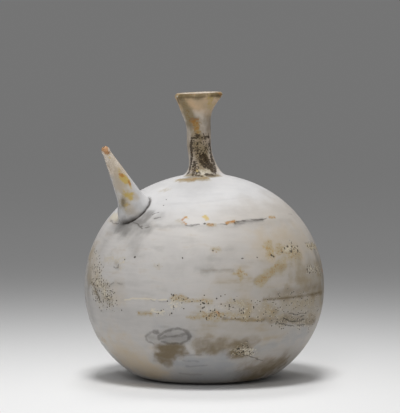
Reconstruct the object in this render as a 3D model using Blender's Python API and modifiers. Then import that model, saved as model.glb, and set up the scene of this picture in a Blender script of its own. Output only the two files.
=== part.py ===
# Spouted flask: free-blown white glass, with a squat round body, a narrow neck with a
# funnel mouth, and a hollow conical spout drawn out of the shoulder.
# Metres, +Z up. The origin is the middle of the flat foot. The spout leans towards -X and -Y.

from math import acos, asin, copysign, cos, pi, radians, sin, tan

import bpy
from mathutils import Vector

# Body, from the foot up
body_radius = 0.0453        # at the equator
body_fullness = 2.04        # 2 would make the upright outline a plain ellipse
equator_height = 0.0341     # above the foot
shoulder_rise = 0.0432      # from the equator to the outline's own apex
belly_drop = 0.0402         # from the equator to the outline's own lowest point
foot_radius = 0.0183        # outer edge of the flat ring that it stands on
heel_height = 0.0036        # where the rounding above the foot runs into the outline
kick_radius = 0.0115        # the shallow hollow pushed up under the foot
kick_height = 0.0009
base_wall = 0.0024
body_wall = 0.0016

# Neck and mouth, from the shoulder up
neck_foot_radius = 0.0088   # where the shoulder starts to sweep up into the neck
neck_foot_rise = 0.0074     # from the outline's apex up to the straight neck
neck_foot_ease = 0.15       # 0 makes the sweep as tight as it can be, 1 a straight slope
neck_radius = 0.00455       # outside, at its narrowest
neck_length = 0.0085        # of the straight stretch
neck_wall = 0.0011
mouth_height = 0.0146       # from the straight neck to the top of the lip
mouth_flare = 2.1           # 1 would be a straight cone
lip_radius = 0.0090         # outside of the rounded lip
lip_bead = 0.00104          # radius of the lip's round section
lip_tuck = 0.0005           # how far the mouth's wall meets the lip inside its edge

# The neck was drawn slightly to one side, and its mouth is not level
neck_shift = 0.00205        # towards -X
neck_shift_rise = 0.0125    # height over which the neck moves across
mouth_sway = 0.00075        # extra lean to -X halfway up the mouth
mouth_tilt = radians(2.4)   # the lip is higher at +X

# Spout
spout_bearing = radians(215)    # seen from above, from +X
spout_climb = radians(46)       # of its base up the body's outline, from the equator
spout_tilt = radians(31)        # from the vertical
spout_length = 0.0274           # from the body's surface to the tip
spout_base_radius = 0.0056      # of the plain cone, where it meets the body
spout_tip_radius = 0.00100      # of the plain cone, at the tip
spout_skirt = 0.0012            # how far the base spreads beyond the plain cone
spout_skirt_length = 0.0070
spout_base_wall = 0.0014
spout_tip_wall = 0.00045
spout_bead_length = 0.0027      # of the drop of glass round the tip
spout_bead_swell = 0.00012      # how far it stands out from the cone

# How finely the solids are faceted, and how far a cutter runs past what it opens
outer_sides = 48
inner_sides = 40
spout_sides = 22
past = 0.004


def clear_scene():
    for obj in list(bpy.data.objects):
        bpy.data.objects.remove(obj)


def smoothstep(low, high, value):
    t = min(1.0, max(0.0, (value - low) / (high - low)))
    return t * t * (3 - 2 * t)


def bezier(start, control, end, count):
    # Points after start, up to end, of a curve that leaves and arrives towards the control.
    points = []
    for i in range(1, count + 1):
        t = i / count
        points.append(tuple(
            (1 - t) ** 2 * a + 2 * t * (1 - t) * b + t * t * c
            for a, b, c in zip(start, control, end)
        ))
    return points


def body_point(turn):
    # Radius and height on the body's upright outline. The turn is 0 at the equator.
    half = shoulder_rise if turn > 0 else belly_drop
    out = cos(turn) ** (2 / body_fullness)
    up = abs(sin(turn)) ** (2 / body_fullness)
    return (body_radius * out, equator_height + copysign(half * up, turn))


def body_tangent(turn):
    # Direction of the outline there, upwards, from two points close by.
    step = radians(0.1)
    low = Vector(body_point(turn - step))
    return (Vector(body_point(turn + step)) - low).normalized()


def heel_turn():
    share = (equator_height - heel_height) / belly_drop
    return -asin(share ** (body_fullness / 2))


def neck_turn():
    return acos((neck_foot_radius / body_radius) ** (body_fullness / 2))


def shoulder_height():
    return body_point(neck_turn())[1]


def apex_height():
    return equator_height + shoulder_rise


def mouth_foot():
    # Height at which the neck starts to open into the mouth.
    return apex_height() + neck_foot_rise + neck_length


def lip_top():
    return mouth_foot() + mouth_height


def lip_foot():
    return lip_top() - 2 * lip_bead


def lip_point(angle):
    # A point on the lip's round section, 0 degrees pointing outwards and 90 up.
    turn = radians(angle)
    return (
        lip_radius - lip_bead + lip_bead * cos(turn),
        lip_top() - lip_bead + lip_bead * sin(turn),
    )


def foot_line(heel_steps):
    # From the middle of the kick, over the flat ring, and round the heel up to the body.
    points = []
    kick_steps = 4
    for i in range(kick_steps):
        share = i / kick_steps
        points.append((kick_radius * share, kick_height * (1 - share * share) ** 2))
    points.append((kick_radius, 0.0))
    points.append((foot_radius, 0.0))
    end = body_point(heel_turn())
    along = body_tangent(heel_turn())
    control = (end[0] - along.x * end[1] / along.y, 0.0)
    return points + bezier(points[-1], control, end, heel_steps)


def body_line(steps):
    # The body's side, from above the heel up to the foot of the neck.
    points = []
    for i in range(1, steps + 1):
        turn = heel_turn() + (neck_turn() - heel_turn()) * i / steps
        points.append(body_point(turn))
    return points


def neck_line(foot_steps, straight_steps, mouth_steps):
    # From the foot of the neck up to the underside of the lip.
    start = body_point(neck_turn())
    along = body_tangent(neck_turn())
    corner = neck_radius + neck_foot_ease * (neck_foot_radius - neck_radius)
    control = (corner, start[1] + along.y / along.x * (corner - start[0]))
    top = (neck_radius, apex_height() + neck_foot_rise)
    points = bezier(start, control, top, foot_steps)
    for i in range(1, straight_steps + 1):
        points.append((neck_radius, top[1] + neck_length * i / straight_steps))
    for i in range(1, mouth_steps + 1):
        share = i / mouth_steps
        opening = (lip_radius - lip_tuck - neck_radius) * share ** mouth_flare
        points.append((neck_radius + opening, mouth_foot() + (lip_foot() - mouth_foot()) * share))
    return points


def outer_profile():
    # Up the outside of the vessel, round the lip, and straight across its top to the axis.
    line = foot_line(4) + body_line(20) + neck_line(5, 2, 6)
    lip = [lip_point(angle) for angle in (-25, 0, 30, 60)]
    return line + lip + [(lip_radius - lip_bead, lip_top()), (0.0, lip_top())]


def wall_at(height):
    # Thick in the base, thinner up the body, thinnest in the neck.
    low = base_wall + (body_wall - base_wall) * smoothstep(0, equator_height, height)
    return low + (neck_wall - body_wall) * smoothstep(equator_height, apex_height(), height)


def cavity_profile():
    # The outside line moved in by the wall, then up inside the lip and out past its top.
    line = foot_line(2) + body_line(14) + neck_line(4, 1, 4)
    moved = [(0.0, kick_height + base_wall)]
    for before, (radius, height), after in zip(line, line[1:], line[2:]):
        along = Vector((after[0] - before[0], after[1] - before[1])).normalized()
        wall = wall_at(height)
        moved.append((radius - along.y * wall, height + along.x * wall))
    inside = [point for point in moved if point[1] < lip_foot()]
    lip = [lip_point(angle) for angle in (195, 165, 130, 100)]
    above = lip_top() + past
    return inside + lip + [(lip[-1][0], above), (0.0, above)]


def spout_radius(rise):
    # Outside, at a distance along the spout from the body's surface.
    share = max(0.0, rise) / spout_length
    cone = spout_base_radius + (spout_tip_radius - spout_base_radius) * share
    near = 1 - smoothstep(0, spout_skirt_length, rise)
    return cone + spout_skirt * near * near


def bore_radius(rise):
    share = max(0.0, rise) / spout_length
    return spout_radius(rise) - spout_base_wall - (spout_tip_wall - spout_base_wall) * share


def spout_root():
    # How deep the spout's own solids start below the body's surface.
    return -(body_wall + past)


def spout_profile():
    # Up the outside of the spout, and round the drop of glass at its tip.
    points = [(0.0, spout_root()), (spout_radius(0), spout_root())]
    rings = 9
    end = spout_length - spout_bead_length
    for i in range(rings + 1):
        rise = end * i / rings
        points.append((spout_radius(rise), rise))
    bead_radius = spout_radius(end) + spout_bead_swell
    start = asin(spout_radius(end) / bead_radius)
    bead_steps = 5
    for i in range(1, bead_steps):
        turn = start + (pi - start) * i / bead_steps
        lift = (cos(start) - cos(turn)) / (cos(start) + 1)
        points.append((bead_radius * sin(turn), end + spout_bead_length * lift))
    return points + [(0.0, spout_length)]


def bore_profile():
    foot = spout_root() - past
    points = [(0.0, foot), (bore_radius(0), foot)]
    rings = 5
    for i in range(rings + 1):
        rise = spout_length * i / rings
        points.append((bore_radius(rise), rise))
    top = spout_length + past
    return points + [(bore_radius(spout_length), top), (0.0, top)]


def turned(name, profile, sides, collection):
    # A profile turned round Z, from its top down.
    mesh = bpy.data.meshes.new(name)
    points = [(radius, 0, height) for radius, height in reversed(profile)]
    mesh.from_pydata(points, [(i, i + 1) for i in range(len(points) - 1)], [])
    obj = bpy.data.objects.new(name, mesh)
    collection.objects.link(obj)
    turn = obj.modifiers.new("Turn", "SCREW")
    turn.axis = "Z"
    turn.angle = 2 * pi
    turn.steps = sides
    turn.render_steps = sides
    turn.use_merge_vertices = True
    turn.merge_threshold = 0.00001
    return obj


def apply_modifiers(obj):
    bpy.context.view_layer.update()
    graph = bpy.context.evaluated_depsgraph_get()
    mesh = bpy.data.meshes.new_from_object(obj.evaluated_get(graph))
    obj.modifiers.clear()
    obj.data = mesh


def draw_aside(obj):
    # Moves the neck across, leans the mouth a little more, and tips the lip.
    middle = (mouth_foot() + lip_top()) / 2
    for vertex in obj.data.vertices:
        height = vertex.co.z
        across = smoothstep(shoulder_height(), shoulder_height() + neck_shift_rise, height)
        sway = 1 - smoothstep(0, mouth_height / 2, abs(height - middle))
        tip = smoothstep(mouth_foot(), lip_foot(), height)
        vertex.co.z += vertex.co.x * tan(mouth_tilt) * tip
        vertex.co.x -= neck_shift * across + mouth_sway * sway


def make_vessel(name, profile, sides, collection):
    obj = turned(name, profile, sides, collection)
    apply_modifiers(obj)
    draw_aside(obj)
    return obj


def make_spout(name, profile, collection):
    # The spout's own Z runs from the body's surface to the tip.
    obj = turned(name, profile, spout_sides, collection)
    radius, height = body_point(spout_climb)
    away = Vector((cos(spout_bearing), sin(spout_bearing), 0))
    axis = away * sin(spout_tilt) + Vector((0, 0, cos(spout_tilt)))
    obj.location = away * radius + Vector((0, 0, height))
    obj.rotation_mode = "QUATERNION"
    obj.rotation_quaternion = axis.to_track_quat("Z", "Y")
    return obj


def combine(obj, other, operation):
    step = obj.modifiers.new(operation.title() + " " + other.name, "BOOLEAN")
    step.operation = operation
    step.object = other
    step.solver = "EXACT"
    other.hide_render = True
    other.display_type = "WIRE"


def weathered_white_glass():
    material = bpy.data.materials.new("weathered_white_glass")
    material.use_nodes = True
    shader = material.node_tree.nodes["Principled BSDF"]
    shader.inputs["Base Color"].default_value = (0.60, 0.575, 0.53, 1)
    shader.inputs["Roughness"].default_value = 0.42
    shader.inputs["Metallic"].default_value = 0.0
    shader.inputs["IOR"].default_value = 1.5
    return material


def make_flask():
    shown = bpy.data.collections.new("spouted_flask")
    helpers = bpy.data.collections.new("helpers")
    bpy.context.scene.collection.children.link(shown)
    bpy.context.scene.collection.children.link(helpers)

    flask = make_vessel("flask", outer_profile(), outer_sides, shown)
    cavity = make_vessel("cavity", cavity_profile(), inner_sides, helpers)
    spout = make_spout("spout_outside", spout_profile(), helpers)
    bore = make_spout("spout_bore", bore_profile(), helpers)

    combine(flask, spout, "UNION")
    combine(flask, cavity, "DIFFERENCE")
    combine(flask, bore, "DIFFERENCE")
    apply_modifiers(flask)

    flask.data.materials.clear()
    flask.data.materials.append(weathered_white_glass())
    flask.data.shade_smooth()
    flask.data.set_sharp_from_angle(angle=radians(40))


clear_scene()
make_flask()
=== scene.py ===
# Spouted flask of weathered white glass, standing on a pale studio floor
import random
from math import acos, asin, copysign, cos, hypot, pi, radians, sin, sqrt, tan

import bmesh
import bpy
import numpy as np
from mathutils import Matrix, Vector, noise


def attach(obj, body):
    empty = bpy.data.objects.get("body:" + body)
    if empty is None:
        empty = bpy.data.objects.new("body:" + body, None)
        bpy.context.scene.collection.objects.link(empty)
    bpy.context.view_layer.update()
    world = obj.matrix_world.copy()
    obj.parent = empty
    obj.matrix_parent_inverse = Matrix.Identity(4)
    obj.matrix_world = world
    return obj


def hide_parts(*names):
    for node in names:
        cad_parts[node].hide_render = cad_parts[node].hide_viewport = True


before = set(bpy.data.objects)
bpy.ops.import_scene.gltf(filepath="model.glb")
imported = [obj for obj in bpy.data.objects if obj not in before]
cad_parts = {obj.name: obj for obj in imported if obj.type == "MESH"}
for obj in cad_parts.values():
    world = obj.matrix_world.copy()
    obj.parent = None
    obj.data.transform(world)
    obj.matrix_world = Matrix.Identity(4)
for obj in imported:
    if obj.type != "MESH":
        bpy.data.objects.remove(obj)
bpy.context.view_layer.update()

print("frame loaded")


# small helpers

def stand(obj, place, aim):
    # puts a camera or lamp at a place, looking at its aim
    obj.location = place
    obj.rotation_mode = "QUATERNION"
    obj.rotation_quaternion = (Vector(aim) - obj.location).to_track_quat("-Z", "Y")
    bpy.context.scene.collection.objects.link(obj)


def smooth(low, high, value):
    # 0 below low, 1 above high and smooth between, for a number or an array
    t = np.clip((value - low) / (high - low), 0, 1)
    return t * t * (3 - 2 * t)


def bump01(middle, reach, value):
    # 1 at the middle, easing to 0 at the reach on both sides
    return 1 - smooth(0, reach, abs(value - middle))


def bezier(start, control, end, count):
    points = []
    for i in range(1, count + 1):
        t = i / count
        points.append(tuple(
            (1 - t) ** 2 * a + 2 * t * (1 - t) * b + t * t * c
            for a, b, c in zip(start, control, end)
        ))
    return points


# the vessel's outline, in metres, from the foot up
vessel = {
    "bodyRadius": 0.0453, "fullness": 2.04, "equator": 0.0341, "rise": 0.0432, "drop": 0.0402,
    "footRadius": 0.0183, "heel": 0.0036, "kickRadius": 0.0115, "kickHeight": 0.0009,
    "baseWall": 0.0024, "bodyWall": 0.0016, "neckWall": 0.0011,
    "neckFoot": 0.0088, "footRise": 0.0074, "footEase": 0.15, "neckRadius": 0.00455,
    "neckLength": 0.0085, "mouthHeight": 0.0146, "mouthFlare": 2.1,
    "lipRadius": 0.0090, "lipBead": 0.00104, "lipTuck": 0.0005,
    "shift": 0.00205, "shiftRise": 0.0125, "sway": 0.00075, "tilt": radians(2.4),
    "outerSides": 440, "innerSides": 96, "past": 0.004, "weld": 0.000002, "sharp": radians(40),
}

apex = vessel["equator"] + vessel["rise"]
mouthFoot = apex + vessel["footRise"] + vessel["neckLength"]
lipTop = mouthFoot + vessel["mouthHeight"]
lipFoot = lipTop - 2 * vessel["lipBead"]


def bodyPoint(turn):
    # radius and height on the upright outline, with turn 0 at the equator
    half = vessel["rise"] if turn > 0 else vessel["drop"]
    out = cos(turn) ** (2 / vessel["fullness"])
    up = abs(sin(turn)) ** (2 / vessel["fullness"])
    return (vessel["bodyRadius"] * out, vessel["equator"] + copysign(half * up, turn))


def bodyRadiusAt(height):
    half = vessel["rise"] if height > vessel["equator"] else vessel["drop"]
    share = min(1.0, abs(height - vessel["equator"]) / half)
    return vessel["bodyRadius"] * (1 - share ** vessel["fullness"]) ** (1 / vessel["fullness"])


def bodySlope(turn):
    step = radians(0.1)
    return (Vector(bodyPoint(turn + step)) - Vector(bodyPoint(turn - step))).normalized()


heelTurn = -asin(((vessel["equator"] - vessel["heel"]) / vessel["drop"]) ** (vessel["fullness"] / 2))
neckTurn = acos((vessel["neckFoot"] / vessel["bodyRadius"]) ** (vessel["fullness"] / 2))
shoulderHeight = bodyPoint(neckTurn)[1]


def lipPoint(degrees):
    turn = radians(degrees)
    middle = (vessel["lipRadius"] - vessel["lipBead"], lipTop - vessel["lipBead"])
    return (middle[0] + vessel["lipBead"] * cos(turn), middle[1] + vessel["lipBead"] * sin(turn))


def vesselLine(steps):
    # from the middle of the kick to the underside of the lip
    kickSteps, heelSteps, bodySteps, footSteps, neckSteps, mouthSteps = steps
    line = []
    for i in range(kickSteps):
        share = i / kickSteps
        line.append((vessel["kickRadius"] * share, vessel["kickHeight"] * (1 - share * share) ** 2))
    line += [(vessel["kickRadius"], 0.0), (vessel["footRadius"], 0.0)]
    end, along = bodyPoint(heelTurn), bodySlope(heelTurn)
    line += bezier(line[-1], (end[0] - along.x * end[1] / along.y, 0.0), end, heelSteps)
    for i in range(1, bodySteps + 1):
        line.append(bodyPoint(heelTurn + (neckTurn - heelTurn) * i / bodySteps))
    start, along = bodyPoint(neckTurn), bodySlope(neckTurn)
    corner = vessel["neckRadius"] + vessel["footEase"] * (vessel["neckFoot"] - vessel["neckRadius"])
    control = (corner, start[1] + along.y / along.x * (corner - start[0]))
    line += bezier(start, control, (vessel["neckRadius"], apex + vessel["footRise"]), footSteps)
    for i in range(1, neckSteps + 1):
        line.append((vessel["neckRadius"], line[-1][1] + vessel["neckLength"] / neckSteps))
    opening = vessel["lipRadius"] - vessel["lipTuck"] - vessel["neckRadius"]
    for i in range(1, mouthSteps + 1):
        share = i / mouthSteps
        radius = vessel["neckRadius"] + opening * share ** vessel["mouthFlare"]
        line.append((radius, mouthFoot + (lipFoot - mouthFoot) * share))
    return line


def outerLine():
    line = vesselLine((5, 10, 122, 13, 8, 15))
    line += [lipPoint(degrees) for degrees in range(-30, 90, 15)]
    return line + [(vessel["lipRadius"] - vessel["lipBead"], lipTop), (0.0, lipTop)]


def wallAt(height):
    base, body, neck = vessel["baseWall"], vessel["bodyWall"], vessel["neckWall"]
    low = base + (body - base) * smooth(0, vessel["equator"], height)
    return low + (neck - body) * smooth(vessel["equator"], apex, height)


def cavityLine():
    line = vesselLine((3, 4, 36, 8, 6, 10))
    moved = [(0.0, vessel["kickHeight"] + vessel["baseWall"])]
    for before, (radius, height), after in zip(line, line[1:], line[2:]):
        along = Vector((after[0] - before[0], after[1] - before[1])).normalized()
        wall = wallAt(height)
        moved.append((radius - along.y * wall, height + along.x * wall))
    inside = [point for point in moved if point[1] < lipFoot]
    lip = [lipPoint(degrees) for degrees in (200, 180, 160, 140, 120, 100)]
    above = lipTop + vessel["past"]
    return inside + lip + [(lip[-1][0], above), (0.0, above)]


def meshPoints(mesh):
    points = np.empty(len(mesh.vertices) * 3, np.float32)
    mesh.vertices.foreach_get("co", points)
    return points.reshape(-1, 3).astype(float)


def movePoints(mesh, points):
    mesh.vertices.foreach_set("co", points.astype(np.float32).ravel())
    mesh.update()


def weld(bm):
    bmesh.ops.remove_doubles(bm, verts=bm.verts, dist=vessel["weld"])
    bmesh.ops.recalc_face_normals(bm, faces=bm.faces)


def turned(line, sides):
    # an upright line spun round Z, with its poles closed
    bm = bmesh.new()
    verts = [bm.verts.new((radius, 0, height)) for radius, height in line]
    edges = [bm.edges.new(pair) for pair in zip(verts, verts[1:])]
    bmesh.ops.spin(
        bm, geom=verts + edges, cent=(0, 0, 0), axis=(0, 0, 1), dvec=(0, 0, 0),
        angle=2 * pi, steps=sides, use_merge=True, use_duplicate=False,
    )
    weld(bm)
    return bm


def drawAside(obj):
    # the neck stands a little to one side, and its mouth is not level
    points = meshPoints(obj.data)
    height = points[:, 2].copy()
    across = smooth(shoulderHeight, shoulderHeight + vessel["shiftRise"], height)
    sway = bump01((mouthFoot + lipTop) / 2, vessel["mouthHeight"] / 2, height)
    points[:, 2] += points[:, 0] * tan(vessel["tilt"]) * smooth(mouthFoot, lipFoot, height)
    points[:, 0] -= vessel["shift"] * across + vessel["sway"] * sway
    movePoints(obj.data, points)
    return obj


# the spout, whose own Z runs from the body's surface to its tip
spout = {
    "bearing": radians(215), "climb": radians(46), "tilt": radians(31), "length": 0.0274,
    "baseRadius": 0.0056, "tipRadius": 0.00100, "skirt": 0.0012, "skirtLength": 0.0070,
    "baseWall": 0.0014, "tipWall": 0.00045, "beadLength": 0.0027, "beadSwell": 0.00012, "bow": 0.0004,
    "sides": 72, "rings": 46,
}


def spoutRadius(rise):
    share = np.maximum(0.0, rise) / spout["length"]
    cone = spout["baseRadius"] + (spout["tipRadius"] - spout["baseRadius"]) * share
    near = 1 - smooth(0, spout["skirtLength"], rise)
    return cone + spout["skirt"] * near * near


def boreRadius(rise):
    share = max(0.0, rise) / spout["length"]
    return spoutRadius(rise) - spout["baseWall"] - (spout["tipWall"] - spout["baseWall"]) * share


spoutRoot = -(vessel["bodyWall"] + vessel["past"])
spoutAway = Vector((cos(spout["bearing"]), sin(spout["bearing"]), 0))
spoutAxis = spoutAway * sin(spout["tilt"]) + Vector((0, 0, cos(spout["tilt"])))
spoutSeat = spoutAway * bodyPoint(spout["climb"])[0] + Vector((0, 0, bodyPoint(spout["climb"])[1]))
spoutPlace = Matrix.Translation(spoutSeat) @ spoutAxis.to_track_quat("Z", "Y").to_matrix().to_4x4()


def spoutLine():
    line = [(0.0, spoutRoot), (spoutRadius(0), spoutRoot)]
    end = spout["length"] - spout["beadLength"]
    for i in range(spout["rings"] + 1):
        rise = end * i / spout["rings"]
        line.append((spoutRadius(rise), rise))
    beadRadius = spoutRadius(end) + spout["beadSwell"]
    start = asin(spoutRadius(end) / beadRadius)
    beadSteps = 14
    for i in range(1, beadSteps):
        turn = start + (pi - start) * i / beadSteps
        lift = (cos(start) - cos(turn)) / (cos(start) + 1)
        line.append((beadRadius * sin(turn), end + spout["beadLength"] * lift))
    return line + [(0.0, spout["length"])]


def boreLine():
    foot = spoutRoot - vessel["past"]
    line = [(0.0, foot), (boreRadius(0), foot)]
    boreRings = 12
    for i in range(boreRings + 1):
        rise = spout["length"] * i / boreRings
        line.append((boreRadius(rise), rise))
    above = spout["length"] + vessel["past"]
    return line + [(boreRadius(spout["length"]), above), (0.0, above)]


# the faces' finishes, in the order of every mesh's material slots
finishes = ("bodyGlass", "neckGlass", "innerGlass")
bodyFinish, neckFinish, innerFinish = range(3)
clear = {"neckFrom": 0.0792, "lipKeep": 0.0004}


def placed(name, bm, materials=finishes):
    mesh = bpy.data.meshes.new(name)
    bm.to_mesh(mesh)
    bm.free()
    for material in materials:
        mesh.materials.append(bpy.data.materials.get(material) or bpy.data.materials.new(material))
    obj = bpy.data.objects.new(name, mesh)
    bpy.context.scene.collection.objects.link(obj)
    return obj


def combine(obj, other, operation):
    step = obj.modifiers.new(operation.title(), "BOOLEAN")
    step.operation = operation
    step.object = other
    step.solver = "EXACT"
    bpy.context.view_layer.update()
    graph = bpy.context.evaluated_depsgraph_get()
    mesh = bpy.data.meshes.new_from_object(obj.evaluated_get(graph))
    obj.modifiers.clear()
    obj.data = mesh
    bpy.data.objects.remove(other)


def finishFaces(bm, finish):
    for face in bm.faces:
        face.material_index = finish


def makeVessel():
    bm = turned(outerLine(), vessel["outerSides"])
    for face in bm.faces:
        height = face.calc_center_median().z
        onNeck = clear["neckFrom"] < height < lipFoot - clear["lipKeep"]
        face.material_index = neckFinish if onNeck else bodyFinish
    return drawAside(placed("spoutedFlask", bm))


def makeCavity():
    bm = turned(cavityLine(), vessel["innerSides"])
    finishFaces(bm, innerFinish)
    return drawAside(placed("cavity", bm))


def seatSpout(bm):
    # onto the shoulder, and drawn a little to the right above its foot, as the glass was
    for vert in bm.verts:
        drawn = spout["bow"] * smooth(0, spout["length"] / 3, vert.co.z)
        vert.co = spoutPlace @ vert.co + Vector((drawn, 0, 0))
    return bm


def makeSpout():
    bm = turned(spoutLine(), spout["sides"])
    finishFaces(bm, bodyFinish)
    return placed("spoutBody", seatSpout(bm))


def makeBore():
    bm = turned(boreLine(), spout["sides"])
    finishFaces(bm, innerFinish)
    return placed("bore", seatSpout(bm))


def makeFlask():
    flask = makeVessel()
    combine(flask, makeSpout(), "UNION")
    combine(flask, makeCavity(), "DIFFERENCE")
    combine(flask, makeBore(), "DIFFERENCE")
    bm = bmesh.new()
    bm.from_mesh(flask.data)
    weld(bm)
    bm.to_mesh(flask.data)
    bm.free()
    return flask


flask = makeFlask()
print("flask modelled:", len(flask.data.polygons), "faces")


# camera, which the marks on the glass are placed by
view = {
    "distance": 1.2, "elevation": radians(5.0), "focus": 0.05,
    "aimAcross": -0.0016, "aimHeight": 0.0648, "lens": 276.7, "film": 36.0,
    "width": 400, "height": 413, "clipNear": 0.05, "clipFar": 100,
}


def makeCamera():
    data = bpy.data.cameras.new("camera")
    data.lens = view["lens"]
    data.sensor_width = view["film"]
    data.clip_start = view["clipNear"]
    data.clip_end = view["clipFar"]
    camera = bpy.data.objects.new("camera", data)
    height = view["focus"] + view["distance"] * sin(view["elevation"])
    place = (0, -view["distance"] * cos(view["elevation"]), height)
    stand(camera, place, (view["aimAcross"], 0, view["aimHeight"]))
    bpy.context.scene.camera = camera
    return camera


camera = makeCamera()


def glassAt(column, row):
    # the point of the glass that the camera sees at a column and row of the picture
    focus = view["lens"] / view["film"] * view["height"]
    ray = Vector((column + 0.5 - view["width"] / 2, view["height"] / 2 - row - 0.5, -focus))
    ray.rotate(camera.rotation_quaternion)
    hit, point, normal, face = flask.ray_cast(camera.location, ray.normalized())
    if not hit:
        raise RuntimeError("no glass at column %d, row %d" % (column, row))
    return point


def bodyAt(bearing, height):
    radius = bodyRadiusAt(height)
    return Vector((radius * cos(bearing), radius * sin(bearing), height))


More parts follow.
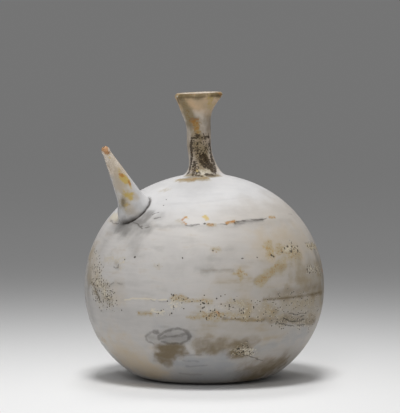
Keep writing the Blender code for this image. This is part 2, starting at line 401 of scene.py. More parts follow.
# marks on the glass, by where they are: each stroke's reach in millimetres and its strength, then columns
# and rows of the picture that it passes
features = {
    "rim": {
        "brown": [
            (1.3, 1.0, (212, 93), (220, 93)), (0.9, 0.8, (178, 97), (190, 97), (204, 96)),
            (1.3, 1.0, (180, 94), (206, 93)), (0.9, 0.9, (177, 98), (178, 102)),
        ],
        "khaki": [(1.6, 1.0, (178, 95), (205, 94), (221, 94)), (1.6, 0.8, (186, 96), (214, 95))],
        # painted highlights at both ends of the rim
        "pale": [(0.45, 1.0, (176, 96), (177, 96)), (0.45, 1.0, (221, 95), (221, 96))],
        "orange": [
            (0.9, 0.6, (219, 93), (221, 94)), (1.0, 0.4, (182, 94), (202, 93)),
            (0.9, 0.45, (215, 92), (219, 92)),
        ],
    },
    "funnel": {
        "ochre": [(2.0, 0.8, (183, 102), (186, 110), (189, 120))],
        "brown": [(1.5, 0.4, (182, 101), (185, 110), (188, 118)), (3.0, 0.2, (208, 122), (209, 133))],
        "grime": [(3.0, 0.35, (208, 122), (209, 133))],
        "khaki": [
            (2.4, 1.0, (181, 99), (184, 106), (188, 115), (189, 124)), (2.6, 0.4, (208, 118), (209, 130)),
        ],
        "warm": [(3.0, 0.8, (196, 98), (212, 104))],
        "yellow": [(1.6, 0.6, (209, 98), (211, 106))],
    },
    "neckSpot": {
        "ochre": [(1.8, 1.0, (195, 122), (196, 131))],
        "brown": [(1.2, 1.0, (191, 119), (194, 120)), (0.6, 0.6, (194, 124), (196, 128))],
        "yellow": [(1.6, 0.65, (195, 123), (197, 130))],
        "orange": [(1.8, 0.68, (194, 120), (196, 130))],
    },
    "neckSoil": {
        "khaki": [(3.4, 1.0, (197, 140), (198, 150), (201, 160), (203, 168))],
        "soil": [
            (1.3, 0.9, (202, 156), (206, 161), (211, 166)), (1.1, 0.75, (199, 159), (206, 165), (213, 171)),
            (0.9, 0.8, (209, 142), (210, 150), (212, 160), (215, 170)),
            (0.8, 0.8, (191, 138), (191, 152), (190, 166), (188, 173)),
            (0.8, 0.7, (192, 137), (198, 136), (208, 137)), (2.2, 0.45, (196, 144), (199, 152), (204, 150)),
            (1.6, 0.6, (193, 164), (195, 172)), (1.6, 0.4, (204, 140), (206, 150)),
            (0.8, 0.6, (192, 175), (201, 176)), (0.8, 0.7, (206, 174), (214, 175)),
        ],
    },
    "neckFoot": {
        "ochre": [(2.7, 1.0, (181, 179), (192, 179), (203, 178))],
        "brown": [
            (1.4, 0.6, (188, 177), (204, 177)), (1.8, 0.65, (182, 179), (202, 179)),
            (1.2, 0.5, (200, 176), (216, 175)),
        ],
        # painted shade in the crease where the neck meets the body
        "khaki": [(1.5, 0.9, (187, 175), (205, 176), (218, 175))],
        "pale": [(2.2, 0.8, (200, 171), (205, 173))],
        "yellow": [(0.8, 0.8, (196, 170), (198, 171))],
        "orange": [(1.4, 0.5, (186, 179), (198, 178))],
    },
    "spoutSide": {
        "ochre": [(2.6, 0.5, (121, 198), (124, 206))],
        "brown": [(0.9, 1.0, (122, 200), (123, 205)), (1.6, 0.35, (121, 199), (122, 206))],
        "warm": [
            (2.6, 0.6, (112, 163), (116, 172)), (3.2, 1.0, (118, 176), (124, 192)),
            (2.6, 0.8, (123, 198), (130, 208)), (1.5, 0.8, (132, 195), (136, 197)),
        ],
        "yellow": [
            (1.3, 1.0, (123, 177), (128, 182)), (0.9, 0.6, (130, 185), (131, 187)),
            (1.1, 0.5, (117, 168), (119, 172)), (1.6, 0.8, (126, 194), (130, 196)),
            (0.9, 0.5, (125, 204), (126, 208)), (1.0, 0.6, (106, 153), (108, 157)),
        ],
        "orange": [
            (1.8, 1.0, (104, 147), (106, 149)), (0.6, 0.9, (120, 174), (123, 176)),
            (0.6, 0.9, (128, 181), (130, 184)),
        ],
    },
    "spoutFoot": {
        # painted shadow under and round the spout's foot, darkest just below the crack
        "grime": [
            (2.4, 1.0, (122, 225), (138, 222), (147, 216)), (2.6, 0.9, (120, 228), (126, 230)),
            (2.4, 0.7, (124, 228), (147, 224)),
            (3.4, 0.6, (126, 231), (146, 228)), (3.4, 0.45, (134, 236), (134, 250)),
            (3.0, 0.5, (128, 212), (140, 206)), (1.8, 0.4, (148, 222), (160, 216)),
        ],
        "crack": [
            (0.9, 0.9, (121, 220), (126, 222)), (1.3, 1.0, (128, 222), (137, 218), (143, 211)),
            (0.9, 0.9, (143, 211), (149, 203)), (0.7, 0.9, (149, 203), (150, 200), (149, 197)),
        ],
        "darkLines": [
            (0.28, 0.6, (152, 214), (158, 212)), (0.28, 0.6, (154, 218), (160, 217)),
            (0.25, 0.6, (133, 222), (138, 225), (142, 228)), (0.25, 0.6, (143, 228), (149, 226)),
        ],
    },
    "besideSpout": {
        "ochre": [(1.4, 0.35, (110, 218), (113, 222))],
        # painted highlight on the lit sliver of body beside the spout
        "pale": [(1.3, 1.0, (112, 215), (117, 219)), (0.9, 0.8, (117, 212), (117, 221))],
        "warm": [(1.4, 0.5, (108, 219), (116, 223))],
        "darkLines": [(0.28, 0.6, (110, 220), (113, 223), (118, 223))],
    },
    "shoulder": {
        "ochre": [(1.6, 0.5, (160, 191), (168, 189))],
        "grime": [(0.6, 0.22, (163, 204), (200, 202), (250, 196))],
        "dots": [(0.3, (166, 199), (163, 205))],
    },
    "shoulderLine": {
        "ochre": [
            (1.2, 0.5, (177, 220), (186, 224)), (0.8, 0.9, (207, 224), (214, 224)),
            (0.8, 1.0, (226, 222), (235, 221)), (0.7, 0.9, (269, 217), (274, 217)),
        ],
        # the grey line along the shoulder, with painted shade in a wide weak band just below it
        "grime": [
            (0.9, 0.45, (150, 226), (236, 226)), (0.8, 0.9, (234, 223), (262, 219)),
            (1.6, 0.3, (200, 228), (290, 221)),
        ],
        "yellow": [(0.9, 0.9, (203, 216), (207, 219)), (0.6, 0.6, (184, 216), (187, 218))],
        "orange": [
            (0.7, 0.9, (226, 222), (235, 221)), (0.7, 0.6, (208, 224), (213, 224)),
            (0.5, 0.8, (185, 217), (182, 220), (186, 224)), (0.6, 0.6, (269, 217), (274, 217)),
        ],
        "dots": [(0.5, (204, 223))],
        "darkLines": [
            (0.35, 0.6, (140, 226), (190, 225), (226, 224)), (0.3, 0.7, (190, 224), (199, 224)),
            (0.4, 0.8, (234, 222), (262, 219)), (0.3, 0.7, (262, 219), (291, 214)),
        ],
    },
    "leftSide": {
        # painted shade down the left edge
        "grime": [(3.0, 0.4, (88, 278), (88, 300), (92, 318))],
        "pits": [
            (2.8, 0.9, (98, 275), (103, 288), (108, 300)), (2.4, 1.0, (92, 279), (94, 290), (100, 302)),
            (2.6, 0.9, (105, 284), (111, 301)), (2.0, 0.7, (92, 268), (100, 272)),
            (2.0, 0.6, (94, 250), (98, 264)),
        ],
        "pale": [(2.6, 0.6, (98, 282), (106, 296))],
        "khaki": [(4.0, 0.6, (90, 254), (89, 275)), (3.2, 0.5, (97, 280), (106, 298))],
        "warm": [(5.0, 0.6, (91, 250), (94, 272))],
        "brown": [(0.5, 0.8, (91, 281), (95, 290), (99, 299))],
        "dots": [
            (0.38, (96, 278), (101, 282), (99, 290), (106, 296), (108, 299), (97, 285)),
            (0.3, (94, 252), (94, 264), (121, 310)),
        ],
        "darkLines": [(0.28, 0.6, (93, 283), (97, 292), (100, 301))],
    },
    "leftCurl": {
        "ochre": [(2.5, 0.45, (105, 259), (121, 261)), (1.6, 0.5, (156, 264), (158, 267))],
        "pale": [(2.6, 0.5, (106, 259), (121, 261))],
        "brown": [(1.3, 0.4, (115, 263), (118, 266))],
        "dots": [(0.5, (134, 257)), (0.3, (157, 265), (182, 258), (124, 259))],
        "darkLines": [(0.28, 0.5, (113, 266), (115, 268), (118, 267), (118, 264))],
    },
    "leftPatch": {
        "warm": [(4.2, 0.5, (115, 292), (119, 297))],
        "brown": [(1.4, 0.35, (109, 286), (113, 283), (122, 284))],
        "darkLines": [(0.28, 0.4, (108, 286), (113, 282), (122, 284))],
    },
    "equatorBand": {
        "ochre": [(1.7, 1.0, (174, 298), (184, 298)), (1.1, 0.75, (184, 300), (210, 301))],
        "pits": [
            (1.4, 0.7, (173, 297), (186, 299)), (1.8, 0.6, (172, 304), (180, 305)),
            (2.2, 0.6, (200, 303), (204, 309)),
        ],
        "pale": [(1.8, 0.55, (170, 305), (180, 304))],
        "dots": [(0.38, (173, 295), (203, 303), (202, 308)), (0.3, (178, 297), (216, 298), (229, 306))],
        "darkLines": [(0.28, 0.25, (150, 300), (166, 301))],
        "paleLines": [(0.3, 0.8, (124, 299), (140, 298), (152, 299), (166, 299))],
    },
    "lowerLeftBand": {
        "ochre": [(1.2, 0.8, (139, 313), (151, 313))],
        "pits": [(1.2, 0.6, (152, 312), (170, 312))],
        "pale": [(1.2, 0.6, (152, 311), (162, 313))],
        "dots": [(0.3, (158, 313), (171, 313))],
        "paleLines": [(0.3, 0.8, (152, 310), (157, 312), (163, 311))],
    },
    "lowerBand": {
        "ochre": [
            (1.5, 1.0, (203, 314), (219, 314)), (0.9, 0.7, (187, 317), (210, 318)),
            (0.9, 0.6, (212, 320), (262, 319)), (1.8, 0.6, (228, 300), (240, 304)),
            (1.3, 0.7, (222, 313), (246, 315)), (2.2, 0.7, (248, 304), (249, 312)),
            (2.2, 0.6, (266, 303), (270, 316)), (2.4, 0.5, (290, 306), (310, 303)),
        ],
        "brown": [
            (2.2, 0.4, (246, 305), (249, 312)), (2.6, 0.4, (266, 304), (272, 314)),
            (0.5, 1.0, (222, 318), (263, 320)),
        ],
        "pits": [
            (2.4, 0.5, (226, 304), (256, 306)), (1.6, 0.75, (203, 314), (220, 313)),
            (1.3, 0.5, (228, 316), (262, 316)),
        ],
        "pale": [(1.3, 0.48, (205, 308), (262, 309))],
        "khaki": [(3.5, 0.5, (235, 304), (262, 310)), (7.0, 0.35, (230, 285), (270, 290))],
        "warm": [(4.0, 0.4, (245, 300), (262, 312)), (3.0, 0.4, (206, 300), (230, 308))],
        "orange": [(0.7, 0.7, (217, 312), (218, 313))],
        "dots": [(0.3, (256, 304), (234, 299))],
    },
    "darkSeam": {
        "brown": [
            (0.6, 0.85, (263, 299), (280, 298), (300, 296), (321, 292)),
            (2.2, 0.45, (270, 294), (285, 293), (300, 290), (320, 286)),
        ],
    },
    "lowerRightBand": {
        "ochre": [(1.6, 0.5, (266, 311), (282, 315)), (2.0, 0.5, (292, 304), (312, 300))],
        "brown": [(1.5, 0.6, (264, 318), (285, 320), (314, 321)), (1.8, 0.6, (284, 319), (303, 320))],
        "pits": [(4.0, 0.45, (270, 307), (314, 305)), (2.6, 0.6, (276, 319), (312, 321))],
        "khaki": [(6.0, 0.5, (288, 300), (316, 306)), (3.0, 0.6, (270, 316), (312, 318))],
        "darkLines": [
            (0.3, 0.8, (283, 318), (292, 321), (303, 319)), (0.3, 0.7, (300, 316), (318, 309)),
            (0.25, 0.6, (288, 313), (297, 314), (306, 312)), (0.3, 0.7, (276, 322), (290, 325), (304, 324)),
        ],
    },
    "upperRight": {
        "ochre": [(2.6, 0.8, (268, 245), (270, 253)), (1.3, 0.7, (212, 248), (218, 249))],
        "warm": [(7.0, 0.6, (262, 246), (300, 240)), (3.4, 0.9, (268, 244), (270, 254))],
        "yellow": [(2.6, 0.38, (266, 246), (271, 253))],
        "orange": [(2.4, 0.38, (267, 247), (270, 254))],
        "dots": [(0.5, (271, 255), (273, 256)), (0.3, (257, 257), (213, 250), (242, 258))],
    },
    "rightCrust": {
        "ochre": [(2.8, 0.9, (282, 249), (297, 252)), (1.3, 0.9, (307, 246), (315, 246))],
        "pits": [
            (2.0, 0.8, (284, 248), (296, 249)), (1.3, 0.9, (307, 246), (315, 246)),
            (1.4, 0.9, (307, 269), (320, 270)),
        ],
        "pale": [
            (2.1, 0.65, (285, 248), (296, 249)), (1.2, 0.6, (307, 246), (315, 246)),
            (1.4, 0.6, (308, 268), (318, 269)),
        ],
        "orange": [(0.6, 0.8, (321, 269), (322, 271))],
        "dots": [
            (0.55, (287, 246), (297, 250), (291, 251)),
            (0.42, (294, 247), (284, 248), (291, 246), (282, 252), (297, 246)),
            (0.42, (307, 269), (312, 268), (316, 270), (311, 246), (309, 272)),
        ],
    },
    "rightStreak": {
        "ochre": [
            (2.0, 0.8, (282, 264), (272, 271), (259, 281)), (1.5, 0.6, (283, 258), (276, 268)),
            (1.2, 1.0, (240, 271), (240, 276)), (0.7, 0.8, (233, 273), (246, 274)),
            (0.7, 0.7, (240, 268), (240, 280)),
        ],
        "brown": [(1.4, 0.55, (256, 281), (270, 273), (282, 266)), (0.6, 0.5, (239, 275), (242, 277))],
        "khaki": [(3.4, 0.5, (260, 279), (284, 262))],
    },
    "greySmear": {
        "brown": [(0.7, 0.5, (201, 270), (232, 270))],
        "grime": [
            (5.0, 0.3, (180, 262), (230, 258)), (2.0, 0.45, (196, 269), (212, 269)),
            (1.4, 0.3, (236, 262), (268, 262)),
        ],
    },
    "rightSide": {
        # painted shade down the right edge
        "grime": [(2.6, 0.6, (313, 246), (322, 274), (322, 300))],
        "khaki": [(8.0, 0.65, (300, 272), (314, 284)), (5.0, 0.7, (318, 266), (321, 296))],
    },
    "loop": {
        "grime": [(2.0, 0.6, (150, 337), (160, 337)), (3.0, 0.75, (166, 338), (184, 337))],
        "darkLines": [
            (0.5, 0.5, (158, 339), (158, 335), (167, 330), (178, 328), (185, 330), (189, 335), (187, 340)),
            (0.5, 0.45, (158, 338), (167, 336), (180, 335), (187, 332)),
            (0.45, 0.4, (156, 332), (150, 332), (145, 336), (147, 341), (153, 343)),
            (0.5, 0.5, (187, 340), (180, 343), (170, 343), (161, 341)),
            (0.8, 0.6, (186, 331), (189, 336), (188, 339)), (0.8, 0.6, (154, 332), (157, 332)),
        ],
    },
    "brownPatch": {
        "brown": [
            (1.9, 1.0, (161, 347), (180, 347)), (3.0, 1.0, (163, 350), (177, 350)),
            (2.9, 1.0, (162, 355), (171, 354)), (2.4, 0.9, (162, 360), (166, 361)),
            (0.8, 0.8, (181, 352), (187, 353)),
        ],
        "darkLines": [
            (0.5, 0.22, (183, 360), (197, 361)), (0.5, 0.22, (186, 366), (205, 365)),
            (0.6, 0.2, (180, 373), (200, 374)), (0.5, 0.22, (184, 355), (200, 354)),
        ],
    },
    "brownBand": {
        "brown": [
            (3.0, 0.65, (201, 343), (220, 344)), (2.8, 0.75, (203, 348), (220, 349)),
            (3.2, 0.75, (232, 344), (244, 347)), (2.4, 0.9, (232, 352), (243, 354)),
            (1.4, 0.5, (250, 343), (258, 342)), (2.2, 0.4, (204, 339), (252, 340)),
        ],
        "khaki": [(5.0, 0.5, (204, 345), (250, 346)), (6.0, 0.35, (200, 326), (270, 332))],
        "pits": [(2.2, 0.85, (237, 350), (250, 351))],
        "pale": [(2.2, 0.65, (243, 349), (250, 351))],
        "dots": [(0.5, (243, 351), (238, 348)), (0.35, (247, 347), (250, 353), (236, 354))],
        "darkLines": [(0.3, 0.7, (243, 354), (252, 356), (262, 360))],
    },
    "lowerLeft": {
        "ochre": [(2.2, 0.5, (98, 335), (105, 341))],
        "khaki": [(7.0, 0.3, (124, 356), (145, 368))],
        "warm": [(9.0, 0.65, (120, 350), (140, 362)), (6.0, 0.8, (128, 364), (154, 370))],
        "brown": [(2.0, 0.2, (140, 375), (152, 378), (172, 380))],
        "orange": [(2.2, 0.35, (99, 335), (104, 340))],
    },
    "lowerMiddle": {
        "cool": [
            (6.0, 0.8, (182, 366), (222, 364)), (5.0, 0.7, (196, 376), (236, 374)),
            (4.0, 0.4, (160, 325), (185, 330)),
        ],
    },
    "lowerRight": {
        "brown": [
            (5.5, 0.9, (250, 377), (262, 373), (276, 365)), (5.0, 0.7, (247, 370), (262, 366), (280, 360)),
        ],
        "cool": [(5.0, 0.55, (288, 338), (303, 335)), (3.0, 0.5, (256, 350), (272, 346))],
    },
}
# the first channel's grey mark carries real grime and also painted shade; the second channel's pale mark
# carries whitish crusts and also painted highlights
channels = {
    "stain": ("ochre", "brown", "grime"), "wear": ("pits", "pale", "khaki"),
    "tone": ("warm", "cool", "soil"), "tint": ("yellow", "orange", "crack"),
}
kinds = [kind for members in channels.values() for kind in members]


def strokesOf(kind):
    return [stroke for feature in features.values() for stroke in feature.get(kind, ())]


wander = {"seed": 3, "wide": 3.2, "wideShare": 0.7, "fine": 1.1, "fineShare": 0.3, "near": 4, "fade": 2}

# without a seed of its own, Blender's noise follows the clock
noise.seed_set(wander["seed"])

# plainer marks for the side that the picture doesn't show, along the same bands
hidden = {
    "seed": 11, "bearings": (12, 168), "bands": (0.0275, 0.0345, 0.046, 0.061), "spread": 0.0016,
    "lengths": (0.03, 0.22), "sizes": (0.6, 1.3), "funnelFrom": 0.094, "funnelSpread": 0.3,
    "kinds": {
        "ochre": (16, 1.4, 0.8), "brown": (6, 1.6, 0.7), "pits": (9, 2.0, 0.8), "pale": (5, 1.5, 0.7),
        "khaki": (6, 6.0, 0.5), "warm": (4, 6.0, 0.6), "cool": (3, 6.0, 0.5), "grime": (6, 2.5, 0.4),
        "orange": (4, 0.7, 0.7),
    },
    "rings": (("grime", 0.7, 0.6, 0.0612), ("brown", 0.6, 0.5, 0.0342), ("brown", 0.5, 0.6, 0.0272)),
    # painted shade down the left and right edges, grey and khaki, placed by bearing
    "sides": (
        ("grime", 7.0, 0.42, 184, 0.016, 0.044), ("grime", 6.0, 0.45, 357, 0.016, 0.052),
        ("khaki", 6.0, 0.6, 356, 0.022, 0.044),
    ),
    "lip": (("khaki", 1.6, 0.8), ("brown", 1.0, 0.45)),
    "neck": (
        ("khaki", 3.4, 1.0, 0.079, 0.091), ("soil", 1.6, 0.7, 0.080, 0.085), ("soil", 1.2, 0.6, 0.088, 0.090),
        ("khaki", 2.2, 0.8, 0.096, 0.104), ("brown", 1.2, 0.7, 0.1045, 0.1065),
    ),
}


def noiseAt(points, size):
    # three numbers of cloudy noise for each point, with lumps of about size millimetres
    return np.array([noise.noise_vector(Vector(point) * (1000 / size)) for point in points])


def scattered():
    chance = random.Random(hidden["seed"])
    found = {kind: [] for kind in kinds}
    low, high = (radians(bearing) for bearing in hidden["bearings"])
    for kind, (count, reach, strength) in hidden["kinds"].items():
        for i in range(count):
            bearing = chance.uniform(low, high)
            height = chance.choice(hidden["bands"]) + chance.gauss(0, hidden["spread"])
            length = chance.uniform(*hidden["lengths"])
            path = [bodyAt(bearing + length * share, height) for share in (0, 0.33, 0.67, 1)]
            found[kind].append((reach * chance.uniform(*hidden["sizes"]), strength, path))
    for kind, reach, strength, height in hidden["rings"]:
        path = [bodyAt(radians(bearing), height) for bearing in range(0, 181, 4)]
        found[kind].append((reach, strength, path))
    for kind, reach, strength, bearing, low, high in hidden["sides"]:
        path = [bodyAt(radians(bearing), height) for height in np.linspace(low, high, 7)]
        found[kind].append((reach, strength, path))
    for kind, reach, strength in hidden["lip"]:
        path = []
        for bearing in range(0, 361, 15):
            across, along = (vessel["lipRadius"] * part(radians(bearing)) for part in (cos, sin))
            path.append(Vector((across - vessel["shift"], along, lipTop + across * tan(vessel["tilt"]))))
        found[kind].append((reach, strength, path))
    for kind, reach, strength, low, high in hidden["neck"]:
        away = vessel["neckRadius"] + max(0, low - hidden["funnelFrom"]) * hidden["funnelSpread"]
        path = [Vector((-vessel["shift"], away, height)) for height in (low, high)]
        found[kind].append((reach, strength, path))
    return found


def alongGlass(places, step=6):
    # picture places joined by short stretches that follow the glass
    path = [glassAt(*places[0])]
    for (columnA, rowA), (columnB, rowB) in zip(places, places[1:]):
        count = max(1, round(hypot(columnB - columnA, rowB - rowA) / step))
        for i in range(1, count + 1):
            share = i / count
            path.append(glassAt(columnA + (columnB - columnA) * share, rowA + (rowB - rowA) * share))
    return path


def distanceTo(points, path):
    nearest = np.full(len(points), np.inf)
    for start, end in zip(path, path[1:] or path):
        start, along = np.array(start), np.array(end) - np.array(start)
        share = np.clip((points - start) @ along / max(along @ along, 1e-12), 0, 1)
        gap = points - start - share[:, None] * along
        nearest = np.minimum(nearest, np.sqrt((gap * gap).sum(1)))
    return nearest


def jointDistance(points):
    # how far a point of the glass is from the line where the spout meets the body
    offset = points - np.array(spoutSeat)
    rise = offset @ np.array(spoutAxis)
    across = np.sqrt(np.maximum((offset * offset).sum(1) - rise * rise, 0))
    fromSpout = across - spoutRadius(rise)
    height = points[:, 2] - vessel["equator"]
    half = np.where(height > 0, vessel["rise"], vessel["drop"])
    reach = np.hypot(points[:, 0], points[:, 1]) / vessel["bodyRadius"]
    fullness = vessel["fullness"]
    size = (reach ** fullness + (abs(height) / half) ** fullness) ** (1 / fullness)
    fromBody = (1 - 1 / size) * np.hypot(np.hypot(points[:, 0], points[:, 1]), height)
    return np.hypot(fromSpout, fromBody)


def paint(points, kind, unseen):
    # a mark's edge wanders by a share of its reach
    amount = np.zeros(len(points))
    seen = [(reach, strength, alongGlass(places)) for reach, strength, *places in strokesOf(kind)]
    for reach, strength, path in seen + unseen:
        near = distanceTo(points, path) * 1000 < reach * wander["near"]
        wandered = points[near]
        wandered = wandered + noiseAt(wandered, wander["wide"]) * reach * wander["wideShare"] / 1000
        wandered = wandered + noiseAt(wandered, wander["fine"]) * reach * wander["fineShare"] / 1000
        distance = distanceTo(wandered, path) * 1000
        amount[near] = np.maximum(amount[near], strength * (1 - smooth(0, reach * wander["fade"], distance)))
    return amount


def paintMarks(mesh):
    points = meshPoints(mesh)
    unseen = scattered()
    painted = {kind: paint(points, kind, unseen[kind]) for kind in kinds}
    painted["crack"] *= 1 - smooth(*relief["crackFrom"], jointDistance(points))
    for name, members in channels.items():
        values = np.ones((len(points), 4), np.float32)
        for i, kind in enumerate(members):
            values[:, i] = painted[kind]
        mesh.attributes.new(name, "FLOAT_COLOR", "POINT").data.foreach_set("color", values.ravel())
    return painted


# relief in millimetres, outward
relief = {
    "ochre": 0.07, "brown": 0.03, "pale": 0.07, "pits": -0.05, "soil": 0.04, "crack": -0.28, "orange": 0.05,
    "wobble": 0.11, "wobbleSize": 17, "ripple": 0.035, "rippleSize": 9, "rippleFlat": (1, 1, 3),
    "dent": -0.3, "dentReach": 0.017, "dentAt": (-0.017, 0.002, 0.0705), "dentFrom": (0.06, 0.067),
    "footFrom": (0.0004, 0.003), "crackFrom": (0.0001, 0.0007),
}


def raiseMarks(mesh, painted):
    # blown glass isn't quite even, and crusts stand out while cracks and pits sink in
    points = meshPoints(mesh)
    normals = np.empty(len(points) * 3, np.float32)
    mesh.vertex_normals.foreach_get("vector", normals)
    normals = normals.reshape(-1, 3)
    held = np.zeros(len(points), bool)
    for face in mesh.polygons:
        if face.material_index == innerFinish:
            held[list(face.vertices)] = True
    lift = noiseAt(points, relief["wobbleSize"])[:, 0] * relief["wobble"]
    lift += noiseAt(points * relief["rippleFlat"], relief["rippleSize"])[:, 0] * relief["ripple"]
    away = np.sqrt(((points - np.array(relief["dentAt"])) ** 2).sum(1))
    dent = (1 - smooth(0, relief["dentReach"], away)) * smooth(*relief["dentFrom"], points[:, 2])
    lift += dent * relief["dent"]
    for kind in ("ochre", "brown", "pale", "pits", "soil", "crack", "orange"):
        lift += painted[kind] * relief[kind]
    lift *= smooth(*relief["footFrom"], points[:, 2])
    lift[held] = 0
    movePoints(mesh, points + normals * lift[:, None] / 1000)


painted = paintMarks(flask.data)
raiseMarks(flask.data, painted)
print("marks painted and raised")

flask.data.shade_smooth()
flask.data.set_sharp_from_angle(angle=vessel["sharp"])
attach(flask, "root")
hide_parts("flask")


class Wire:
    # a socket that Python's own operators can be used on
    def __init__(self, maker, socket):
        self.maker = maker
        self.socket = socket

    def __add__(self, other):
        return self.maker.math("ADD", self, other)

    def __sub__(self, other):
        return self.maker.math("SUBTRACT", self, other)

    def __rsub__(self, other):
        return self.maker.math("SUBTRACT", other, self)

    def __mul__(self, other):
        return self.maker.math("MULTIPLY", self, other)

    def __truediv__(self, other):
        return self.maker.math("DIVIDE", self, other)

    __radd__ = __add__
    __rmul__ = __mul__

    def most(self, other):
        return self.maker.math("MAXIMUM", self, other)

    def size(self):
        return self.maker.math("ABSOLUTE", self)


class Maker:
    # builds one material's nodes
    def __init__(self, name):
        self.material = bpy.data.materials.get(name) or bpy.data.materials.new(name)
        self.material.use_nodes = True
        self.nodes = self.material.node_tree.nodes
        self.links = self.material.node_tree.links
        self.shader = self.nodes["Principled BSDF"]
        self.place = self.shift(self.node("ShaderNodeTexCoord").outputs["Object"], 1000)

    def feed(self, socket, value):
        if isinstance(value, Wire):
            self.links.new(value.socket, socket)
        elif isinstance(value, bpy.types.NodeSocket):
            self.links.new(value, socket)
        else:
            socket.default_value = value

    def node(self, kind, settings=None, sockets=None):
        node = self.nodes.new(kind)
        for name, value in (settings or {}).items():
            if name == "stops":
                self.fillRamp(node.color_ramp, value)
            else:
                setattr(node, name, value)
        for name, value in (sockets or {}).items():
            self.feed(node.inputs[name], value)
        return node

    def fillRamp(self, ramp, stops):
        while len(ramp.elements) < len(stops):
            ramp.elements.new(1)
        for element, (position, colour) in zip(ramp.elements, stops):
            element.position = position
            element.color = (*colour, 1)

    def wire(self, node, output=0):
        return Wire(self, node.outputs[output])

    def math(self, operation, *values):
        return self.wire(self.node("ShaderNodeMath", {"operation": operation}, dict(enumerate(values))))

    def vector(self, operation, sockets, output="Vector"):
        return self.wire(self.node("ShaderNodeVectorMath", {"operation": operation}, sockets), output)

    def shift(self, vector, scale):
        return self.vector("SCALE", {"Vector": vector, "Scale": scale})

    def stretched(self, factors):
        return self.vector("MULTIPLY", {0: self.place, 1: factors})

    def noise(self, size, detail=3.0, stretch=(1, 1, 1), rough=0.55, output=0):
        # cloudy noise whose lumps are about size millimetres across
        node = self.node(
            "ShaderNodeTexNoise", {"noise_dimensions": "3D"},
            {"Vector": self.stretched(stretch), "Scale": 1 / size, "Detail": detail, "Roughness": rough})
        return self.wire(node, output)

    def cells(self, size, stretch=(1, 1, 1)):
        # distance to the nearest cell's middle, in cells, and a number for that cell
        node = self.node(
            "ShaderNodeTexVoronoi", {"feature": "F1"},
            {"Vector": self.stretched(stretch), "Scale": 1 / size})
        return self.wire(node, "Distance"), self.parts(node.outputs["Color"])[0]

    def parts(self, colour):
        node = self.node("ShaderNodeSeparateColor", {}, {"Color": colour})
        return [self.wire(node, i) for i in range(3)]

    def painted(self, name):
        node = self.node("ShaderNodeAttribute", {"attribute_name": name})
        return self.parts(node.outputs["Color"])

    def cloud(self, size, detail, stretch, rough, reach):
        # cloudy noise with 0 as its middle
        return (self.noise(size, detail, stretch, rough) - 0.5) * reach

    def rise(self, value, low, high, start=0.0, end=1.0):
        # 0 below low, 1 above high and smooth between
        node = self.node(
            "ShaderNodeMapRange", {"interpolation_type": "SMOOTHSTEP"},
            {"Value": value, "From Min": low, "From Max": high, "To Min": start, "To Max": end})
        return self.wire(node)

    def fall(self, value, low, high):
        return self.rise(value, low, high, 1.0, 0.0)

    def grains(self, mark, rough, low, high):
        # a painted mark broken into grains, with none where it isn't painted
        return self.rise(mark + rough, low, high) * self.rise(mark, 0.02, 0.3)

    def mix(self, amount, below, above):
        node = self.node(
            "ShaderNodeMix", {"data_type": "RGBA"},
            {0: amount, 6: self.colour(below), 7: self.colour(above)})
        return self.wire(node, 2)

    def colour(self, value):
        return value if isinstance(value, Wire) else (*value, 1)

    def shade(self, colour, amount):
        # a colour made darker or lighter by a number
        node = self.node(
            "ShaderNodeMix", {"data_type": "RGBA", "clamp_factor": False},
            {0: amount, 6: (0, 0, 0, 1), 7: colour})
        return self.wire(node, 2)

    def tint(self, below, above):
        node = self.node(
            "ShaderNodeMix", {"data_type": "RGBA", "blend_type": "MULTIPLY"},
            {0: 1.0, 6: self.colour(below), 7: self.colour(above)})
        return self.wire(node, 2)

    def ramp(self, value, stops):
        return self.wire(self.node("ShaderNodeValToRGB", {"stops": stops}, {"Fac": value}))

    def bend(self, size, amount):
        # moves the places that marks are measured from, so that their edges wander
        cloud = self.noise(size, rough=0.5, output="Color")
        middle = self.vector("SUBTRACT", {0: cloud, 1: (0.5, 0.5, 0.5)})
        self.bent = self.vector("ADD", {0: self.place, 1: self.shift(middle, amount)})

    def dots(self, reach, places):
        # round spots at places of the picture, reach millimetres in radius
        mask = 0
        for place in places:
            middle = tuple(glassAt(*place) * 1000)
            away = self.vector("DISTANCE", {0: self.bent, 1: middle}, "Value")
            spot = self.edge(away, reach, glassLook["dotEdge"])
            mask = spot if mask == 0 else mask.most(spot)
        return mask

    def edge(self, away, reach, shares):
        return self.fall(away, reach * shares[0], reach * shares[1])

    def line(self, reach, places):
        # a thin line through places of the picture, reach millimetres to each side
        mask = 0
        path = [glassAt(*place) * 1000 for place in places]
        for start, end in zip(path, path[1:]):
            along = end - start
            gap = self.vector("SUBTRACT", {0: self.bent, 1: tuple(start)})
            share = self.vector("DOT_PRODUCT", {0: gap, 1: tuple(along / along.length_squared)}, "Value")
            held = self.wire(self.node("ShaderNodeClamp", {}, {"Value": share}))
            nearest = self.shift(tuple(along), held)
            away = self.vector("DISTANCE", {0: gap, 1: nearest}, "Value")
            stretch = self.edge(away, reach, glassLook["lineEdge"])
            mask = stretch if mask == 0 else mask.most(stretch)
        return mask

    def finish(self, base, roughness, bump=None, strength=0.0, depth=0.0002):
        self.feed(self.shader.inputs["Base Color"], base)
        self.feed(self.shader.inputs["Roughness"], roughness)
        if bump:
            node = self.node(
                "ShaderNodeBump", {}, {"Strength": strength, "Distance": depth, "Height": bump})
            self.feed(self.shader.inputs["Normal"], node.outputs["Normal"])


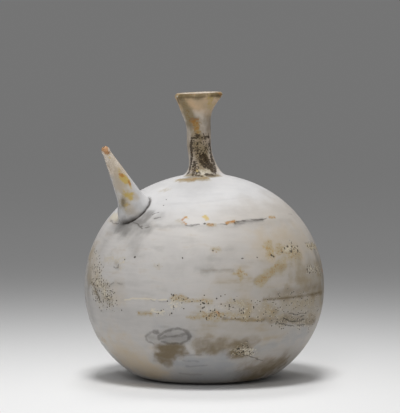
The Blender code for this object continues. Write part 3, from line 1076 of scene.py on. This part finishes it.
glassLook = {
    "whiteTop": (0.69, 0.682, 0.682), "whiteLeft": (0.69, 0.662, 0.636), "whiteRight": (0.60, 0.555, 0.505),
    "beige": (0.45, 0.38, 0.30), "film": (0.40, 0.385, 0.365), "shine": 0.28,
    "dotEdge": (0.6, 1.3), "lineEdge": (0.4, 1.6),
    "ochre": (0.43, 0.35, 0.215), "crumb": (0.36, 0.22, 0.08), "brown": (0.145, 0.103, 0.046),
    "grime": (0.20, 0.19, 0.18), "khaki": (0.27, 0.20, 0.095), "pale": (0.68, 0.62, 0.50),
    "warm": (0.53, 0.43, 0.30), "cool": (0.31, 0.322, 0.34), "yellow": (0.60, 0.43, 0.10),
    "orange": (0.48, 0.21, 0.055), "soil": (0.036, 0.019, 0.005), "pit": (0.04, 0.03, 0.02),
    "neckMilk": (0.80, 0.71, 0.61), "neckCloud": (0.64, 0.53, 0.42), "funnel": (0.88, 0.60, 0.32),
    "heightShades": (
        (0.0, (0.55,) * 3), (0.10, (0.65,) * 3), (0.22, (0.75,) * 3), (0.36, (0.77,) * 3),
        (0.50, (0.82,) * 3), (0.66, (0.88,) * 3), (0.90, (0.98,) * 3),
    ),
}
bodyBump, neckBump = 0.5, 0.4
neckAlpha = 0.82


# noise over the glass: the size of its lumps in millimetres, detail, stretch, roughness and range
clouds = {
    "fleck": (1.3, 6, (1, 1, 1), 0.7, 3), "grit": (0.6, 3, (1, 1, 1), 0.6, 3),
    "mottle": (8, 5, (1, 1, 1), 0.55, 2), "streak": (12, 5, (1, 1, 5), 0.55, 2),
}

# the marks' coats from the lowest up: how much of each noise roughens the edge, the strengths where the coat
# begins and is full, and how much it covers there
coats = (
    {"mark": "khaki", "mottle": 0.3, "streak": 0.3, "edge": (0.05, 1.0), "cover": 0.85},
    {"mark": "warm", "mottle": 0.4, "edge": (0.0, 1.1), "cover": 0.8},
    {"mark": "cool", "streak": 0.6, "edge": (0.1, 0.9), "cover": 0.75},
    # the grey coat, for grime and for painted shade
    {"mark": "grime", "fleck": 0.1, "mottle": 0.15, "edge": (0.0, 1.1), "cover": 0.85},
    {"mark": "brown", "fleck": 0.1, "mottle": 0.2, "edge": (0.05, 1.05), "cover": 0.9},
    {"mark": "ochre", "fleck": 0.4, "edge": (0.2, 0.85), "cover": 0.75},
    {"mark": "ochre", "colour": "crumb", "grit": 1.1, "edge": (0.85, 1.05), "cover": 0.7, "grains": True},
    {"mark": "yellow", "fleck": 0.4, "edge": (0.3, 0.8), "cover": 0.85},
    {"mark": "orange", "fleck": 0.6, "edge": (0.35, 0.8), "cover": 0.8, "grains": True},
    {"mark": "pale", "fleck": 0.5, "grit": 0.3, "edge": (0.4, 0.75), "cover": 0.8, "grains": True},
    {
        "mark": "soil", "gain": 1.2, "grit": 0.8, "fleck": 0.5, "edge": (0.3, 0.75), "cover": 0.92,
        "grains": True,
    },
)
pitting = {
    "size": 0.75, "share": 0.6, "hole": (0.25, 0.5), "ragged": 0.12, "rimInner": (0.4, 0.5),
    "rimOuter": (0.5, 0.7), "wormSize": 1.7, "worm": (0.012, 0.035), "curlSize": 1.1, "curl": (0.015, 0.045),
}


def coated(m, base, coat, marks, noises):
    mark = marks[coat["mark"]]
    if "gain" in coat:
        mark = mark * coat["gain"]
    first, *others = [noises[name] * coat[name] for name in clouds if name in coat]
    rough = sum(others, first)
    if "grains" in coat:
        amount = m.grains(mark, rough, *coat["edge"])
    else:
        amount = m.rise(mark + rough, *coat["edge"])
    return m.mix(amount * coat["cover"], base, glassLook[coat.get("colour", coat["mark"])])


def glassColour(m):
    # colour, roughness, and how far the marks stand out or sink in
    parts = m.node("ShaderNodeSeparateXYZ", {}, {"Vector": m.place})
    x, z = m.wire(parts, "X"), m.wire(parts, "Z")
    marks = {}
    for name, members in channels.items():
        marks.update(zip(members, m.painted(name)))
    m.bend(2.5, 1.5)
    noises = {name: m.cloud(*settings) for name, settings in clouds.items()}
    fleck, grit, mottle, streak = noises.values()
    thread = (m.noise(15, 4, (1, 1, 14)) - 0.5) * m.rise(m.noise(20, 2), 0.4, 0.65)

    # whiter on the left, partly painted light falling from the left, and beige on the right
    base = m.mix(m.rise(x + mottle * 16, -20, 34), glassLook["whiteLeft"], glassLook["whiteRight"])
    base = m.mix(m.rise(z + mottle * 6 - x * 0.15, 60, 71), base, glassLook["whiteTop"])
    base = m.tint(base, m.ramp(z / 80, glassLook["heightShades"]))
    below = m.fall(z, 50, 70)
    base = m.mix(m.rise(streak + mottle * 0.6, 0.05, 0.55) * below * 0.5, base, glassLook["beige"])
    base = m.mix(m.rise(mottle - streak * 0.6, 0.05, 0.55) * below * 0.4, base, glassLook["film"])
    base = m.shade(base, 1 + mottle * 0.14 + streak * 0.12 + thread * 0.16 + fleck * 0.02)

    cloudy = m.rise((m.noise(3.5, 4, (1, 1, 0.6)) - 0.5) * 2 + marks["grime"] * 0.5, -0.1, 0.3)
    neck = m.mix(cloudy, glassLook["neckMilk"], glassLook["neckCloud"])
    neck = m.mix(m.rise(z + mottle * 4, 98, 104) * 0.8, neck, glassLook["funnel"])
    base = m.mix(m.rise(z + fleck * 1.5, 76.2, 79.5), base, neck)
    for coat in coats:
        base = coated(m, base, coat, marks, noises)

    distance, chance = m.cells(pitting["size"])
    pits = marks["pits"]
    chosen = m.rise(pits * pitting["share"] - chance, 0, 0.04)
    holes = chosen * m.fall(distance + fleck * pitting["ragged"], *pitting["hole"])
    rims = chosen * m.rise(distance, *pitting["rimInner"]) * m.fall(distance, *pitting["rimOuter"])
    worms = m.fall((m.noise(pitting["wormSize"], 3) - 0.5).size(), *pitting["worm"])
    worms = worms * m.rise(pits + fleck * 0.5, 0.5, 0.9)
    curls = m.fall((m.noise(pitting["curlSize"], 2) - 0.5).size(), *pitting["curl"])
    curls = curls * m.rise(pits + fleck * 0.5, 0.3, 0.8)
    base = m.mix(curls * 0.6, base, glassLook["pale"])
    base = m.mix(rims * 0.55, base, glassLook["pale"])
    base = m.mix(worms * 0.7, base, glassLook["brown"])
    for reach, *places in strokesOf("dots"):
        holes = holes.most(m.dots(reach, places))
    thin = 0
    for reach, strength, *places in strokesOf("darkLines"):
        line = m.line(reach, places) * strength
        thin = line if thin == 0 else thin.most(line)
    lines = marks["crack"].most(thin * m.rise(fleck, -0.9, 0.1))
    for reach, strength, *places in strokesOf("paleLines"):
        base = m.mix(m.line(reach, places) * strength, base, glassLook["pale"])
    base = m.mix(lines * 0.9, base, glassLook["pit"])
    base = m.mix(holes * 0.88, base, glassLook["pit"])
    crust = marks["ochre"].most(marks["brown"]).most(marks["soil"])
    rough = 0.46 + m.rise(crust, 0.2, 0.8) * 0.25
    m.shader.inputs["Specular IOR Level"].default_value = glassLook["shine"]
    return base, rough, grit * 0.04 - holes - marks["crack"] + rims * 0.4


def makeGlass(name, bump, alpha):
    m = Maker(name)
    m.finish(*glassColour(m), bump)
    m.shader.inputs["Alpha"].default_value = alpha


def makeInnerGlass():
    # the soil and stains of the neck show through from its inner wall
    m = Maker("innerGlass")
    brown = m.painted("stain")[1]
    khaki = m.painted("wear")[2]
    soil = m.painted("tone")[2]
    cloud = m.cloud(4, 4, (1, 1, 1), 0.55, 2)
    grit = m.cloud(0.8, 4, (1, 1, 1), 0.6, 3)
    base = m.mix(m.rise(cloud, -0.3, 0.4), glassLook["neckMilk"], glassLook["neckCloud"])
    base = m.mix(m.rise(khaki + cloud * 0.3, 0.05, 1.0) * 0.85, base, glassLook["khaki"])
    base = m.mix(m.rise(brown + cloud * 0.2, 0.1, 0.9) * 0.8, base, glassLook["brown"])
    base = m.mix(m.grains(soil * 1.2, grit, 0.4, 0.75) * 0.9, base, glassLook["soil"])
    m.finish(base, 0.7)


makeGlass("bodyGlass", bodyBump, 1.0)
makeGlass("neckGlass", neckBump, neckAlpha)
makeInnerGlass()
print("materials made")


# floor and light
studio = {
    "floorRadius": 40.0, "floorSides": 96, "floorColour": (0.80, 0.80, 0.80), "ambient": 0.22,
    "aim": (-0.02, -0.10, 0.04),
    "lamps": (
        {"name": "overhead", "at": (-0.05, -0.30, 1.0), "size": 0.30, "power": 0.46, "spread": radians(43)},
        {"name": "behind", "at": (0, 0.40, 0.9), "size": 0.30, "power": 0.15, "spread": radians(42)},
        {"name": "frontFill", "at": (-0.25, -1.3, 0.9), "size": 0.80, "power": 0.20, "spread": radians(21)},
    ),
}


def makeFloor():
    bm = bmesh.new()
    sides = studio["floorSides"]
    bmesh.ops.create_circle(bm, cap_ends=True, segments=sides, radius=studio["floorRadius"])
    floor = placed("floor", bm, ["paleFloor"])
    m = Maker("paleFloor")
    m.finish((*studio["floorColour"], 1), 1.0)
    m.shader.inputs["Specular IOR Level"].default_value = 0.0


def makeLights():
    world = bpy.data.worlds.new("studio")
    bpy.context.scene.world = world
    world.use_nodes = True
    background = world.node_tree.nodes["Background"].inputs
    background["Color"].default_value = (1, 1, 1, 1)
    background["Strength"].default_value = studio["ambient"]
    for lamp in studio["lamps"]:
        light = bpy.data.lights.new(lamp["name"], "AREA")
        light.shape = "SQUARE"
        light.size = lamp["size"]
        light.energy = lamp["power"]
        light.spread = lamp["spread"]
        obj = bpy.data.objects.new(lamp["name"], light)
        obj.visible_camera = False
        stand(obj, lamp["at"], studio["aim"])


makeFloor()
makeLights()
bpy.context.scene.view_settings.view_transform = "Standard"
print("studio lit")
